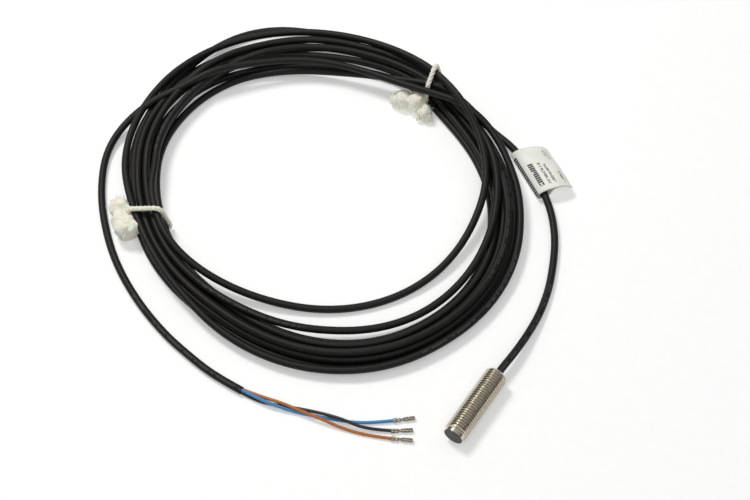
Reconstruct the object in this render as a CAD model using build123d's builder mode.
from build123d import *
from math import cos, pi, radians, sin, sqrt, tan
import os

# M8 inductive proximity sensor with a 5 m lead that is tied up in a flat coil.
# Millimetres. The barrel lies on the floor (z = 0) along Y, its middle over the origin.
# The sensing face looks to -Y and the lead leaves to +Y.

os.makedirs("parts", exist_ok=True)

# Barrel
THREAD_DIAMETER = 8.0
THREAD_PITCH = 1.0
THREAD_DEPTH = 0.6134 * THREAD_PITCH
ROOT_FLAT = THREAD_PITCH / 4
CUTTER_OVERLAP = 0.2
BODY_LENGTH = 28.0
BARREL_BORE = 6.0
COLLAR_STEP = 0.475
COLLAR_LENGTH = 1.4
LEAD_IN = 0.3
REAR_WALL = 0.25
REAR_CHAMFER = 1.0

# Sensing cap: a head that seats in the barrel's front, and a skirt inside the bore
CAP_RIM = 0.175
CAP_HEAD = 0.9
CAP_PROUD = 0.1
CAP_SKIRT = 5.0
CAP_WALL = 0.3
CAP_CLEARANCE = 0.02

# Ferrite pot core, open to the front, with its wound bobbin
CORE_CLEARANCE = 0.05
CORE_LENGTH = 3.2
CORE_WALL = 0.5
CORE_POST = 1.6
CORE_BACK = 1.0
BOBBIN_CLEARANCE = 0.03
BOBBIN_WALL = 0.2
WINDING_MARGIN = 0.1
FINE_WIRE = 0.2
FINE_WIRE_HOLE = 0.5

# Board and what it carries
BOARD_FRONT = 1.2
BOARD_LENGTH = 15.0
BOARD_EDGE_GAP = 0.6
BOARD_THICKNESS = 0.6
CHIP_SIDE = 3.0
CHIP_HEIGHT = 0.9
CHIP_AT = 4.6
TRANSISTOR_LENGTH = 2.9
TRANSISTOR_WIDTH = 1.3
TRANSISTOR_HEIGHT = 1.0
TRANSISTOR_SPAN = 2.4
TRANSISTOR_AT = 8.2
LEG_WIDTH = 0.4
LEG_THICKNESS = 0.15
LEG_PITCH = 0.95
DIODE_DIAMETER = 1.3
DIODE_LENGTH = 3.0
DIODE_AT = 10.4
TRIMMER_LENGTH = 2.0
TRIMMER_WIDTH = 1.25
TRIMMER_HEIGHT = 0.5
TRIMMER_AT = 2.0
CHIP_PART_LENGTH = 1.6
CHIP_PART_WIDTH = 0.8
RESISTOR_HEIGHT = 0.45
CAPACITOR_HEIGHT = 0.8
CHIP_PART_SPREAD = 2.2
CHIP_PART_PITCH = 2.0
CHIP_PARTS_AT = 5.0

# Lead, its three wires and what holds it in the barrel
JACKET_DIAMETER = 2.7
WIRE_DIAMETER = 1.1
JACKET_INSIDE = 6.0
WIRE_INSIDE = 3.4
SOLDER_LENGTH = 0.6
SOLDER_WIDTH = 0.9
SOLDER_HEIGHT = 0.8
BOARD_CLEARANCE = 0.05
CRIMP_RING_WALL = 0.5
CRIMP_RING_LENGTH = 1.5
CRIMP_RING_GAP = 0.2
PLUG_LENGTH = 3.4
PLUG_RECESS = 0.3

# Coil of the lead: one ring between two ellipses with the same centre
COIL_CENTRE = (-94.8, 45.6)
COIL_OUTER = (79.8, 68.4)
COIL_OUTER_TURN = 163.6
COIL_INNER = (59.4, 50.5)
COIL_INNER_TURN = 23.6
COIL_HEIGHT = 7.6
COIL_TOP_ROUND = 2.2
COIL_FOOT_ROUND = 0.8

# Two strings round the coil, each with its knot
STRING_DIAMETER = 1.6
TIE_LEFT_BEARING = 223.0
TIE_RIGHT_BEARING = 85.5
KNOT_DIAMETER = 7.0
KNOT_LENGTH = 16.0
KNOT_BITE = 1.6
TIE_CORNER = 2.4

# Gap between the floor and what lies on it
FLOOR_GAP = 0.05

# Paper label folded round the lead
LABEL_PAPER = 0.2
LABEL_GAP = 0.8
LABEL_WIDTH = 17.0
LABEL_REACH = 13.0
LABEL_TILT = 10.0

# Crimp contact on each wire
CONTACT_DIAMETER = 1.5
CONTACT_NECK = 1.25
CONTACT_GRIP = 2.4
CONTACT_NECK_LENGTH = 1.3
CONTACT_SOCKET = 3.6
CONTACT_BORE = 0.9
CONTACT_BORE_DEPTH = 3.0

# Places that follow from the sizes above
CREST_RADIUS = THREAD_DIAMETER / 2
ROOT_RADIUS = CREST_RADIUS - THREAD_DEPTH
COLLAR_RADIUS = CREST_RADIUS - COLLAR_STEP
CAP_HEAD_RADIUS = COLLAR_RADIUS - CAP_RIM
AXIS_HEIGHT = CREST_RADIUS
BORE_RADIUS = BARREL_BORE / 2
JACKET_RADIUS = JACKET_DIAMETER / 2
WIRE_RADIUS = WIRE_DIAMETER / 2
STRING_RADIUS = STRING_DIAMETER / 2
KNOT_RADIUS = KNOT_DIAMETER / 2
TIE_HEIGHT = COIL_HEIGHT + STRING_RADIUS
FACE_Y = -BODY_LENGTH / 2
FRONT_Y = FACE_Y + CAP_PROUD
REAR_Y = BODY_LENGTH / 2
COLLAR_END_Y = FRONT_Y + COLLAR_LENGTH
CAP_SEAT_Y = FACE_Y + CAP_HEAD
SKIRT_END_Y = CAP_SEAT_Y + CAP_SKIRT
CORE_END_Y = CAP_SEAT_Y + CORE_LENGTH
CORE_FLOOR_Y = CORE_END_Y - CORE_BACK
PLUG_END_Y = REAR_Y - PLUG_RECESS
PLUG_START_Y = PLUG_END_Y - PLUG_LENGTH
JACKET_START_Y = REAR_Y - JACKET_INSIDE
BOARD_START_Y = CORE_END_Y + BOARD_FRONT
BOARD_END_Y = BOARD_START_Y + BOARD_LENGTH
BOARD_WIDTH = BARREL_BORE - 2 * BOARD_EDGE_GAP
BOARD_TOP = AXIS_HEIGHT + BOARD_THICKNESS / 2
BOARD_UNDERSIDE = AXIS_HEIGHT - BOARD_THICKNESS / 2
WIRE_END_Y = JACKET_START_Y - WIRE_INSIDE
SKIRT_BORE_RADIUS = BORE_RADIUS - CAP_CLEARANCE - CAP_WALL
CORE_RADIUS = SKIRT_BORE_RADIUS - CORE_CLEARANCE
WINDOW_RADIUS = CORE_RADIUS - CORE_WALL
POST_RADIUS = CORE_POST / 2

# Heights of the middle line of what lies on the floor
JACKET_LYING = JACKET_RADIUS + FLOOR_GAP
WIRE_LYING = WIRE_RADIUS + FLOOR_GAP
CONTACT_LYING = CONTACT_DIAMETER / 2 + FLOOR_GAP

# Route of the lead from inside the barrel to the coil
LEAD_POINTS = [
    (0.0, JACKET_START_Y, AXIS_HEIGHT),
    (0.0, REAR_Y + 6.0, AXIS_HEIGHT),
    (1.6, 30.6, 2.2),
    (-0.4, 43.0, JACKET_LYING),
    (-5.0, 56.8, JACKET_LYING),
    (-13.3, 75.1, 1.6),
    (-24.5, 88.4, 2.6),
    (-42.7, 98.6, 3.2),
    (-58.8, 102.0, 4.4),
]

# Route of the lead from the coil to its cut end
TAIL_POINTS = [
    (-162.5, 48.7, 5.6),
    (-168.9, 38.4, 5.4),
    (-171.8, 26.2, 2.4),
    (-169.3, 13.8, JACKET_LYING),
    (-160.6, -0.3, JACKET_LYING),
    (-149.3, -11.8, JACKET_LYING),
    (-136.3, -21.7, JACKET_LYING),
    (-120.4, -29.7, JACKET_LYING),
    (-104.2, -35.0, JACKET_LYING),
    (-90.5, -37.3, JACKET_LYING),
    (-79.5, -38.5, JACKET_LYING),
    (-68.8, -37.9, JACKET_LYING),
]

# Routes of the three wires from the cut end to their contacts
BLUE_POINTS = [
    (-68.8, -37.9, 2.0),
    (-62.0, -37.5, 2.0),
    (-55.1, -36.1, 1.6),
    (-47.7, -33.6, WIRE_LYING),
    (-39.8, -30.3, WIRE_LYING),
    (-32.4, -27.2, WIRE_LYING),
    (-25.6, -23.1, 0.7),
    (-18.6, -17.1, CONTACT_LYING),
]
BLACK_POINTS = [
    (-68.8, -38.5, 1.1),
    (-62.5, -38.1, WIRE_LYING),
    (-55.6, -35.2, WIRE_LYING),
    (-48.8, -32.2, WIRE_LYING),
    (-41.3, -29.8, 1.4),
    (-34.1, -28.2, 2.4),
    (-26.0, -26.5, 1.0),
    (-16.9, -20.9, CONTACT_LYING),
]
BROWN_POINTS = [
    (-68.8, -37.3, 1.1),
    (-62.4, -36.1, 1.2),
    (-55.6, -34.5, 1.8),
    (-48.7, -33.5, 2.0),
    (-40.7, -32.0, 1.9),
    (-32.7, -30.4, 0.7),
    (-24.4, -27.9, WIRE_LYING),
    (-15.2, -23.5, CONTACT_LYING),
]


def across_barrel(y):
    """Plane square to the barrel at y, with its own Y up and its normal towards +Y."""
    return Plane(origin=(0, y, AXIS_HEIGHT), x_dir=(-1, 0, 0), z_dir=(0, 1, 0))


def corner_radii(points):
    """The largest even arc that the two runs at each corner have room for."""
    radii = []
    for before, corner, after in zip(points, points[1:], points[2:]):
        run_in = Vector(*corner) - Vector(*before)
        run_out = Vector(*after) - Vector(*corner)
        half_turn = radians(run_in.get_angle(run_out)) / 2
        radii.append(0.45 * min(run_in.length, run_out.length) / tan(half_turn))
    return radii


def cord_path(points):
    """Straight runs joined by tangent arcs."""
    with BuildLine() as route:
        FilletPolyline(*points, radius=corner_radii(points))
    return route.line


def start_plane(path):
    """Plane square to a path at its start."""
    return Plane(origin=path @ 0, z_dir=path % 0)


def coil_reach(axes, turn, bearing):
    """Distance from the coil's centre to an ellipse, along a bearing in degrees."""
    long_axis, short_axis = axes
    angle = radians(bearing - turn)
    return long_axis * short_axis / sqrt(
        (short_axis * cos(angle)) ** 2 + (long_axis * sin(angle)) ** 2
    )


def coil_plane(bearing):
    """Upright plane through the coil's centre: its X points out along the bearing."""
    outward = (cos(radians(bearing)), sin(radians(bearing)), 0)
    along = (sin(radians(bearing)), -cos(radians(bearing)), 0)
    return Plane(origin=(*COIL_CENTRE, 0), x_dir=outward, z_dir=along)


# Threaded barrel
with BuildPart() as barrel:
    with BuildSketch(Plane.YZ):
        with BuildLine():
            Polyline(
                (FRONT_Y, AXIS_HEIGHT),
                (FRONT_Y, AXIS_HEIGHT + COLLAR_RADIUS),
                (COLLAR_END_Y, AXIS_HEIGHT + COLLAR_RADIUS),
                (COLLAR_END_Y + LEAD_IN, AXIS_HEIGHT + CREST_RADIUS),
                (REAR_Y - REAR_CHAMFER, AXIS_HEIGHT + CREST_RADIUS),
                (REAR_Y, AXIS_HEIGHT + BORE_RADIUS + REAR_WALL),
                (REAR_Y, AXIS_HEIGHT),
                (FRONT_Y, AXIS_HEIGHT),
            )
        make_face()
    revolve(axis=Axis((0, 0, AXIS_HEIGHT), (0, 1, 0)))
    with BuildLine() as thread_path:
        Helix(
            pitch=THREAD_PITCH,
            height=REAR_Y - COLLAR_END_Y,
            radius=ROOT_RADIUS,
            center=(0, COLLAR_END_Y + THREAD_PITCH / 4, AXIS_HEIGHT),
            direction=(0, 1, 0),
        )
    thread_start = thread_path.line @ 0
    outward = Vector(thread_start.X, 0, thread_start.Z - AXIS_HEIGHT)
    cutter_depth = THREAD_DEPTH + CUTTER_OVERLAP
    cutter_half = ROOT_FLAT / 2 + cutter_depth * tan(radians(30))
    with BuildSketch(
        Plane(origin=thread_start, x_dir=outward, z_dir=thread_path.line % 0)
    ):
        with BuildLine():
            Polyline(
                (0, -ROOT_FLAT / 2),
                (cutter_depth, -cutter_half),
                (cutter_depth, cutter_half),
                (0, ROOT_FLAT / 2),
                (0, -ROOT_FLAT / 2),
            )
        make_face()
    sweep(path=thread_path.line, is_frenet=True, mode=Mode.SUBTRACT)
    with BuildSketch(across_barrel(FRONT_Y)):
        Circle(BORE_RADIUS)
    extrude(amount=BODY_LENGTH, mode=Mode.SUBTRACT)
    with BuildSketch(across_barrel(FRONT_Y)):
        Circle(CAP_HEAD_RADIUS)
    extrude(amount=CAP_HEAD - CAP_PROUD, mode=Mode.SUBTRACT)

# Plastic cap that closes the front
with BuildPart() as sensing_cap:
    with BuildSketch(across_barrel(FACE_Y)):
        Circle(CAP_HEAD_RADIUS)
    extrude(amount=CAP_HEAD)
    with BuildSketch(across_barrel(CAP_SEAT_Y)):
        Circle(BORE_RADIUS - CAP_CLEARANCE)
        Circle(SKIRT_BORE_RADIUS, mode=Mode.SUBTRACT)
    extrude(amount=CAP_SKIRT)

sleeve_radius = POST_RADIUS + BOBBIN_CLEARANCE
flange_radius = WINDOW_RADIUS - BOBBIN_CLEARANCE
winding_middle = (sleeve_radius + BOBBIN_WALL + flange_radius - WINDING_MARGIN) / 2
fine_wire_level = BOARD_THICKNESS / 2 + BOARD_CLEARANCE + FINE_WIRE / 2
fine_wire_spread = 2 * sqrt(winding_middle**2 - fine_wire_level**2)

# Ferrite pot core with two holes in its back for the winding's ends
with BuildPart() as ferrite_core:
    with BuildSketch(across_barrel(CAP_SEAT_Y)):
        Circle(CORE_RADIUS)
    extrude(amount=CORE_LENGTH)
    with BuildSketch(across_barrel(CAP_SEAT_Y)):
        Circle(WINDOW_RADIUS)
        Circle(POST_RADIUS, mode=Mode.SUBTRACT)
    extrude(amount=CORE_LENGTH - CORE_BACK, mode=Mode.SUBTRACT)
    with BuildSketch(across_barrel(CORE_FLOOR_Y)):
        with Locations((0, fine_wire_level)):
            with GridLocations(fine_wire_spread, 0, 2, 1):
                Circle(FINE_WIRE_HOLE / 2)
    extrude(amount=CORE_BACK, mode=Mode.SUBTRACT)

# Bobbin in the core's window: a sleeve with two flanges
with BuildPart() as coil_bobbin:
    bobbin_length = CORE_LENGTH - CORE_BACK
    with BuildSketch(across_barrel(CAP_SEAT_Y)):
        Circle(flange_radius)
        Circle(sleeve_radius, mode=Mode.SUBTRACT)
    extrude(amount=bobbin_length)
    with BuildSketch(across_barrel(CAP_SEAT_Y + BOBBIN_WALL)):
        Circle(flange_radius)
        Circle(sleeve_radius + BOBBIN_WALL, mode=Mode.SUBTRACT)
    extrude(amount=bobbin_length - 2 * BOBBIN_WALL, mode=Mode.SUBTRACT)
    with BuildSketch(across_barrel(CORE_FLOOR_Y - BOBBIN_WALL)):
        with Locations((0, fine_wire_level)):
            with GridLocations(fine_wire_spread, 0, 2, 1):
                Circle(FINE_WIRE_HOLE / 2)
    extrude(amount=BOBBIN_WALL, mode=Mode.SUBTRACT)

# Copper winding on the bobbin
with BuildPart() as coil_winding:
    with BuildSketch(across_barrel(CAP_SEAT_Y + BOBBIN_WALL)):
        Circle(flange_radius - WINDING_MARGIN)
        Circle(sleeve_radius + BOBBIN_WALL, mode=Mode.SUBTRACT)
    extrude(amount=bobbin_length - 2 * BOBBIN_WALL)

# The winding's two ends, on the board
with BuildPart() as winding_ends:
    with BuildSketch(across_barrel(CORE_FLOOR_Y - BOBBIN_WALL)):
        with Locations((0, fine_wire_level)):
            with GridLocations(fine_wire_spread, 0, 2, 1):
                Circle(FINE_WIRE / 2)
    extrude(amount=BOARD_START_Y + BOARD_FRONT - CORE_FLOOR_Y + BOBBIN_WALL)

# Circuit board along the barrel
with BuildPart() as circuit_board:
    with BuildSketch(Plane.XY.offset(BOARD_UNDERSIDE)):
        with Locations((0, (BOARD_START_Y + BOARD_END_Y) / 2)):
            Rectangle(BOARD_WIDTH, BOARD_LENGTH)
    extrude(amount=BOARD_THICKNESS)

# Oscillator and evaluation chip
with BuildPart() as oscillator_chip:
    with BuildSketch(Plane.XY.offset(BOARD_TOP)):
        with Locations((0, BOARD_START_Y + CHIP_AT)):
            RectangleRounded(CHIP_SIDE, CHIP_SIDE, LEG_THICKNESS)
    extrude(amount=CHIP_HEIGHT)

# Output transistor with its legs
with BuildPart() as output_transistor:
    transistor_y = BOARD_START_Y + TRANSISTOR_AT
    with BuildSketch(Plane.XY.offset(BOARD_TOP)):
        with Locations((0, transistor_y)):
            Rectangle(TRANSISTOR_LENGTH, TRANSISTOR_WIDTH)
    extrude(amount=TRANSISTOR_HEIGHT)
    with BuildSketch(Plane.XY.offset(BOARD_TOP)):
        with Locations((0, transistor_y - TRANSISTOR_SPAN / 4)):
            with GridLocations(2 * LEG_PITCH, 0, 2, 1):
                Rectangle(LEG_WIDTH, TRANSISTOR_SPAN / 2)
        with Locations((0, transistor_y + TRANSISTOR_SPAN / 4)):
            Rectangle(LEG_WIDTH, TRANSISTOR_SPAN / 2)
    extrude(amount=LEG_THICKNESS)

# Protection diode across the board's underside
with BuildPart() as protection_diode:
    diode_height = BOARD_UNDERSIDE - BOARD_CLEARANCE - DIODE_DIAMETER / 2
    with BuildSketch(Plane.YZ.offset(-DIODE_LENGTH / 2)):
        with Locations((BOARD_START_Y + DIODE_AT, diode_height)):
            Circle(DIODE_DIAMETER / 2)
    extrude(amount=DIODE_LENGTH)

# Laser-trimmed resistor that sets the sensing range
with BuildPart() as trim_resistor:
    with BuildSketch(Plane.XY.offset(BOARD_UNDERSIDE)):
        with Locations((0, BOARD_START_Y + TRIMMER_AT)):
            Rectangle(TRIMMER_LENGTH, TRIMMER_WIDTH)
    extrude(amount=-TRIMMER_HEIGHT)

# Chip resistors in two rows under the board, and capacitors beyond them
with BuildPart() as chip_resistors:
    with BuildSketch(Plane.XY.offset(BOARD_UNDERSIDE)):
        with Locations((0, BOARD_START_Y + CHIP_PARTS_AT)):
            with GridLocations(CHIP_PART_SPREAD, CHIP_PART_PITCH, 2, 2):
                Rectangle(CHIP_PART_WIDTH, CHIP_PART_LENGTH)
    extrude(amount=-RESISTOR_HEIGHT)

with BuildPart() as chip_capacitors:
    with BuildSketch(Plane.XY.offset(BOARD_UNDERSIDE)):
        with Locations((0, BOARD_START_Y + CHIP_PARTS_AT + 1.5 * CHIP_PART_PITCH)):
            with GridLocations(CHIP_PART_SPREAD, 0, 2, 1):
                Rectangle(CHIP_PART_WIDTH, CHIP_PART_LENGTH)
    extrude(amount=-CAPACITOR_HEIGHT)

# Three wire ends inside the barrel: two on top of the board and one below it
WIRE_SPREAD = WIRE_DIAMETER + 0.3
wire_level = BOARD_THICKNESS / 2 + BOARD_CLEARANCE + WIRE_RADIUS
solder_level = BOARD_THICKNESS / 2 + SOLDER_HEIGHT / 2
with BuildPart() as inner_wire_brown:
    with BuildSketch(across_barrel(WIRE_END_Y)):
        with Locations((-WIRE_SPREAD / 2, wire_level)):
            Circle(WIRE_RADIUS)
    extrude(amount=WIRE_INSIDE)

with BuildPart() as inner_wire_blue:
    with BuildSketch(across_barrel(WIRE_END_Y)):
        with Locations((WIRE_SPREAD / 2, wire_level)):
            Circle(WIRE_RADIUS)
    extrude(amount=WIRE_INSIDE)

with BuildPart() as inner_wire_black:
    with BuildSketch(across_barrel(WIRE_END_Y)):
        with Locations((0, -wire_level)):
            Circle(WIRE_RADIUS)
    extrude(amount=WIRE_INSIDE)

# Solder where each wire meets the board
with BuildPart() as solder_joints:
    with BuildSketch(across_barrel(WIRE_END_Y)):
        with GridLocations(WIRE_SPREAD, 0, 2, 1):
            with Locations((0, solder_level)):
                Rectangle(SOLDER_WIDTH, SOLDER_HEIGHT)
        with Locations((0, -solder_level)):
            Rectangle(SOLDER_WIDTH, SOLDER_HEIGHT)
    extrude(amount=-SOLDER_LENGTH)

# Crimp ring on the jacket, behind the plug
CRIMP_END_Y = PLUG_START_Y - CRIMP_RING_GAP
with BuildPart() as crimp_ring:
    with BuildSketch(across_barrel(CRIMP_END_Y)):
        Circle(JACKET_RADIUS + CRIMP_RING_WALL)
        Circle(JACKET_RADIUS, mode=Mode.SUBTRACT)
    extrude(amount=-CRIMP_RING_LENGTH)

# Plug that closes the rear and holds the jacket
with BuildPart() as rear_plug:
    with BuildSketch(across_barrel(PLUG_START_Y)):
        Circle(BORE_RADIUS)
        Circle(JACKET_RADIUS, mode=Mode.SUBTRACT)
    extrude(amount=PLUG_LENGTH)

# Cast resin round everything between the core and the plug
with BuildPart() as potting_resin:
    with BuildSketch(across_barrel(SKIRT_END_Y)):
        Circle(BORE_RADIUS)
    extrude(amount=PLUG_START_Y - SKIRT_END_Y)
    with BuildSketch(across_barrel(CORE_END_Y)):
        Circle(SKIRT_BORE_RADIUS)
    extrude(amount=SKIRT_END_Y - CORE_END_Y)
    with BuildSketch(across_barrel(JACKET_START_Y)):
        Circle(JACKET_RADIUS)
    extrude(amount=JACKET_INSIDE, mode=Mode.SUBTRACT)
    add(circuit_board.part, mode=Mode.SUBTRACT)
    add(oscillator_chip.part, mode=Mode.SUBTRACT)
    add(output_transistor.part, mode=Mode.SUBTRACT)
    add(protection_diode.part, mode=Mode.SUBTRACT)
    add(trim_resistor.part, mode=Mode.SUBTRACT)
    add(chip_resistors.part, mode=Mode.SUBTRACT)
    add(chip_capacitors.part, mode=Mode.SUBTRACT)
    add(winding_ends.part, mode=Mode.SUBTRACT)
    add(inner_wire_brown.part, mode=Mode.SUBTRACT)
    add(inner_wire_blue.part, mode=Mode.SUBTRACT)
    add(inner_wire_black.part, mode=Mode.SUBTRACT)
    add(solder_joints.part, mode=Mode.SUBTRACT)
    add(crimp_ring.part, mode=Mode.SUBTRACT)

# Lead from the barrel to the coil
lead_path = cord_path(LEAD_POINTS)
with BuildPart() as cable_lead:
    with BuildSketch(start_plane(lead_path)):
        Circle(JACKET_RADIUS)
    sweep(path=lead_path)

# Lead from the coil to its cut end
tail_path = cord_path(TAIL_POINTS)
with BuildPart() as cable_tail:
    with BuildSketch(start_plane(tail_path)):
        Circle(JACKET_RADIUS)
    sweep(path=tail_path)


def knot_plane(bearing, reach):
    """Plane square to the string's knot, which lies along the coil at a bearing."""
    place = coil_plane(bearing)
    centre = place.from_local_coords((reach, KNOT_RADIUS, -KNOT_LENGTH / 2))
    return Plane(origin=centre, z_dir=place.z_dir)


# String round the coil's left side, its knot outside
left_inner = coil_reach(COIL_INNER, COIL_INNER_TURN, TIE_LEFT_BEARING)
left_outer = coil_reach(COIL_OUTER, COIL_OUTER_TURN, TIE_LEFT_BEARING)
left_span = left_outer - left_inner
with BuildPart() as tie_left:
    with BuildSketch(coil_plane(TIE_LEFT_BEARING)):
        with Locations(((left_inner + left_outer) / 2, TIE_HEIGHT / 2)):
            RectangleRounded(left_span + STRING_DIAMETER, TIE_HEIGHT, TIE_CORNER)
            RectangleRounded(
                left_span - STRING_DIAMETER,
                TIE_HEIGHT - 2 * STRING_DIAMETER,
                TIE_CORNER - STRING_DIAMETER,
                mode=Mode.SUBTRACT,
            )
    extrude(amount=STRING_RADIUS, both=True)
    with BuildSketch(knot_plane(TIE_LEFT_BEARING, left_outer + KNOT_RADIUS - KNOT_BITE)):
        Circle(KNOT_RADIUS)
    extrude(amount=KNOT_LENGTH)

# String round the coil's upper right side, its knot inside
right_inner = coil_reach(COIL_INNER, COIL_INNER_TURN, TIE_RIGHT_BEARING)
right_outer = coil_reach(COIL_OUTER, COIL_OUTER_TURN, TIE_RIGHT_BEARING)
right_span = right_outer - right_inner
with BuildPart() as tie_right:
    with BuildSketch(coil_plane(TIE_RIGHT_BEARING)):
        with Locations(((right_inner + right_outer) / 2, TIE_HEIGHT / 2)):
            RectangleRounded(right_span + STRING_DIAMETER, TIE_HEIGHT, TIE_CORNER)
            RectangleRounded(
                right_span - STRING_DIAMETER,
                TIE_HEIGHT - 2 * STRING_DIAMETER,
                TIE_CORNER - STRING_DIAMETER,
                mode=Mode.SUBTRACT,
            )
    extrude(amount=STRING_RADIUS, both=True)
    with BuildSketch(knot_plane(TIE_RIGHT_BEARING, right_inner - KNOT_RADIUS + KNOT_BITE)):
        Circle(KNOT_RADIUS)
    extrude(amount=KNOT_LENGTH)

# The turns of the lead, as the outer shape of the coil
with BuildPart() as cable_coil:
    with BuildSketch():
        with Locations(Location((*COIL_CENTRE, 0), (0, 0, COIL_OUTER_TURN))):
            Ellipse(*COIL_OUTER)
        with Locations(Location((*COIL_CENTRE, 0), (0, 0, COIL_INNER_TURN))):
            Ellipse(*COIL_INNER, mode=Mode.SUBTRACT)
    extrude(amount=COIL_HEIGHT)
    fillet(edges().group_by(Axis.Z)[-1], radius=COIL_TOP_ROUND)
    fillet(edges().group_by(Axis.Z)[0], radius=COIL_FOOT_ROUND)
    add(tie_left.part, mode=Mode.SUBTRACT)
    add(tie_right.part, mode=Mode.SUBTRACT)

# Gap between the floor and what lies on it
FLOOR_GAP = 0.05

# Paper label folded round the lead, its two sides stuck together as a flag
label_middle = (Vector(*LEAD_POINTS[6]) + Vector(*LEAD_POINTS[7])) / 2
label_axis = Vector(*LEAD_POINTS[7]) - Vector(*LEAD_POINTS[6])
label_out = label_axis.cross(Vector(0, 0, 1))
loop_radius = JACKET_RADIUS + LABEL_GAP
with BuildPart() as cable_label:
    with BuildSketch(Plane(origin=label_middle, x_dir=label_out, z_dir=label_axis)):
        with Locations(Location((0, 0, 0), (0, 0, -LABEL_TILT))):
            with Locations((loop_radius + LABEL_REACH / 2, 0)):
                Rectangle(LABEL_REACH, 2 * LABEL_PAPER)
        Circle(loop_radius + LABEL_PAPER)
        Circle(loop_radius, mode=Mode.SUBTRACT)
    extrude(amount=LABEL_WIDTH / 2, both=True)

# Single wires from the cut end
blue_path = cord_path(BLUE_POINTS)
with BuildPart() as wire_blue:
    with BuildSketch(start_plane(blue_path)):
        Circle(WIRE_RADIUS)
    sweep(path=blue_path)

black_path = cord_path(BLACK_POINTS)
with BuildPart() as wire_black:
    with BuildSketch(start_plane(black_path)):
        Circle(WIRE_RADIUS)
    sweep(path=black_path)

brown_path = cord_path(BROWN_POINTS)
with BuildPart() as wire_brown:
    with BuildSketch(start_plane(brown_path)):
        Circle(WIRE_RADIUS)
    sweep(path=brown_path)


def contact_plane(path, along):
    """Plane square to a wire at its end, moved along by a distance."""
    return Plane(origin=path @ 1 + (path % 1) * along, z_dir=path % 1)


# Crimp contacts: a grip round the insulation, a neck and a socket
with BuildPart() as contact_blue:
    with BuildSketch(contact_plane(blue_path, -CONTACT_GRIP)):
        Circle(CONTACT_DIAMETER / 2)
        Circle(WIRE_RADIUS, mode=Mode.SUBTRACT)
    extrude(amount=CONTACT_GRIP)
    with BuildSketch(contact_plane(blue_path, 0)):
        Circle(CONTACT_NECK / 2)
    extrude(amount=CONTACT_NECK_LENGTH)
    with BuildSketch(contact_plane(blue_path, CONTACT_NECK_LENGTH)):
        Circle(CONTACT_DIAMETER / 2)
    extrude(amount=CONTACT_SOCKET)
    with BuildSketch(contact_plane(blue_path, CONTACT_NECK_LENGTH + CONTACT_SOCKET)):
        Circle(CONTACT_BORE / 2)
    extrude(amount=-CONTACT_BORE_DEPTH, mode=Mode.SUBTRACT)

with BuildPart() as contact_black:
    with BuildSketch(contact_plane(black_path, -CONTACT_GRIP)):
        Circle(CONTACT_DIAMETER / 2)
        Circle(WIRE_RADIUS, mode=Mode.SUBTRACT)
    extrude(amount=CONTACT_GRIP)
    with BuildSketch(contact_plane(black_path, 0)):
        Circle(CONTACT_NECK / 2)
    extrude(amount=CONTACT_NECK_LENGTH)
    with BuildSketch(contact_plane(black_path, CONTACT_NECK_LENGTH)):
        Circle(CONTACT_DIAMETER / 2)
    extrude(amount=CONTACT_SOCKET)
    with BuildSketch(contact_plane(black_path, CONTACT_NECK_LENGTH + CONTACT_SOCKET)):
        Circle(CONTACT_BORE / 2)
    extrude(amount=-CONTACT_BORE_DEPTH, mode=Mode.SUBTRACT)

with BuildPart() as contact_brown:
    with BuildSketch(contact_plane(brown_path, -CONTACT_GRIP)):
        Circle(CONTACT_DIAMETER / 2)
        Circle(WIRE_RADIUS, mode=Mode.SUBTRACT)
    extrude(amount=CONTACT_GRIP)
    with BuildSketch(contact_plane(brown_path, 0)):
        Circle(CONTACT_NECK / 2)
    extrude(amount=CONTACT_NECK_LENGTH)
    with BuildSketch(contact_plane(brown_path, CONTACT_NECK_LENGTH)):
        Circle(CONTACT_DIAMETER / 2)
    extrude(amount=CONTACT_SOCKET)
    with BuildSketch(contact_plane(brown_path, CONTACT_NECK_LENGTH + CONTACT_SOCKET)):
        Circle(CONTACT_BORE / 2)
    extrude(amount=-CONTACT_BORE_DEPTH, mode=Mode.SUBTRACT)

barrel.part.label = "barrel"
export_step(barrel.part, "parts/barrel.step")

sensing_cap.part.label = "sensing_cap"
export_step(sensing_cap.part, "parts/sensing_cap.step")

ferrite_core.part.label = "ferrite_core"
export_step(ferrite_core.part, "parts/ferrite_core.step")

coil_bobbin.part.label = "coil_bobbin"
export_step(coil_bobbin.part, "parts/coil_bobbin.step")

coil_winding.part.label = "coil_winding"
export_step(coil_winding.part, "parts/coil_winding.step")

winding_ends.part.label = "winding_ends"
export_step(winding_ends.part, "parts/winding_ends.step")

circuit_board.part.label = "circuit_board"
export_step(circuit_board.part, "parts/circuit_board.step")

oscillator_chip.part.label = "oscillator_chip"
export_step(oscillator_chip.part, "parts/oscillator_chip.step")

output_transistor.part.label = "output_transistor"
export_step(output_transistor.part, "parts/output_transistor.step")

protection_diode.part.label = "protection_diode"
export_step(protection_diode.part, "parts/protection_diode.step")

trim_resistor.part.label = "trim_resistor"
export_step(trim_resistor.part, "parts/trim_resistor.step")

chip_resistors.part.label = "chip_resistors"
export_step(chip_resistors.part, "parts/chip_resistors.step")

chip_capacitors.part.label = "chip_capacitors"
export_step(chip_capacitors.part, "parts/chip_capacitors.step")

inner_wire_brown.part.label = "inner_wire_brown"
export_step(inner_wire_brown.part, "parts/inner_wire_brown.step")

inner_wire_blue.part.label = "inner_wire_blue"
export_step(inner_wire_blue.part, "parts/inner_wire_blue.step")

inner_wire_black.part.label = "inner_wire_black"
export_step(inner_wire_black.part, "parts/inner_wire_black.step")

solder_joints.part.label = "solder_joints"
export_step(solder_joints.part, "parts/solder_joints.step")

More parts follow.
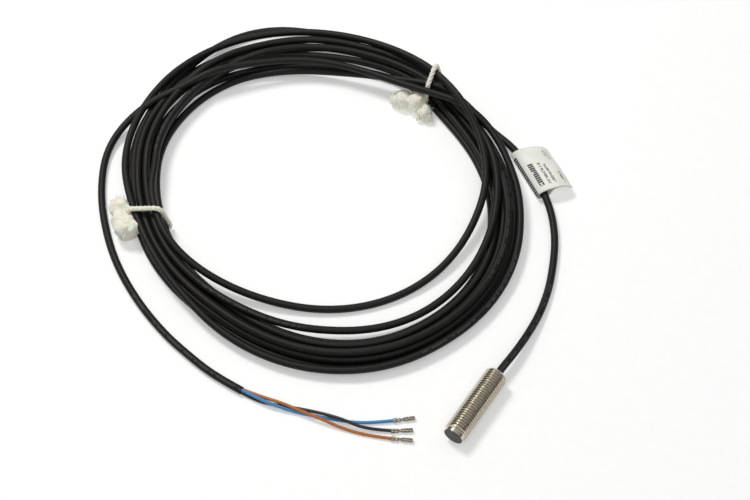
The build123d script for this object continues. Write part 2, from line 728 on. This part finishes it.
crimp_ring.part.label = "crimp_ring"
export_step(crimp_ring.part, "parts/crimp_ring.step")

rear_plug.part.label = "rear_plug"
export_step(rear_plug.part, "parts/rear_plug.step")

potting_resin.part.label = "potting_resin"
export_step(potting_resin.part, "parts/potting_resin.step")

cable_lead.part.label = "cable_lead"
export_step(cable_lead.part, "parts/cable_lead.step")

cable_coil.part.label = "cable_coil"
export_step(cable_coil.part, "parts/cable_coil.step")

cable_tail.part.label = "cable_tail"
export_step(cable_tail.part, "parts/cable_tail.step")

tie_left.part.label = "tie_left"
export_step(tie_left.part, "parts/tie_left.step")

tie_right.part.label = "tie_right"
export_step(tie_right.part, "parts/tie_right.step")

cable_label.part.label = "cable_label"
export_step(cable_label.part, "parts/cable_label.step")

wire_blue.part.label = "wire_blue"
export_step(wire_blue.part, "parts/wire_blue.step")

wire_black.part.label = "wire_black"
export_step(wire_black.part, "parts/wire_black.step")

wire_brown.part.label = "wire_brown"
export_step(wire_brown.part, "parts/wire_brown.step")

contact_blue.part.label = "contact_blue"
export_step(contact_blue.part, "parts/contact_blue.step")

contact_black.part.label = "contact_black"
export_step(contact_black.part, "parts/contact_black.step")

contact_brown.part.label = "contact_brown"
export_step(contact_brown.part, "parts/contact_brown.step")


def report_cord(name, points, diameter, path, tube):
    """Print a cord's arc radii, and its volume beside its section times its length."""
    radii = ", ".join(f"{radius:.1f}" for radius in corner_radii(points))
    section = pi * diameter**2 / 4
    length = sum(edge.length for edge in path.edges())
    print(f"{name}: length {length:.1f}, radii {radii}")
    print(f"{name}: volume {tube.volume:.1f}, section x length {section * length:.1f}")


report_cord("cable_lead", LEAD_POINTS, JACKET_DIAMETER, lead_path, cable_lead.part)
report_cord("cable_tail", TAIL_POINTS, JACKET_DIAMETER, tail_path, cable_tail.part)
report_cord("wire_blue", BLUE_POINTS, WIRE_DIAMETER, blue_path, wire_blue.part)
report_cord("wire_black", BLACK_POINTS, WIRE_DIAMETER, black_path, wire_black.part)
report_cord("wire_brown", BROWN_POINTS, WIRE_DIAMETER, brown_path, wire_brown.part)
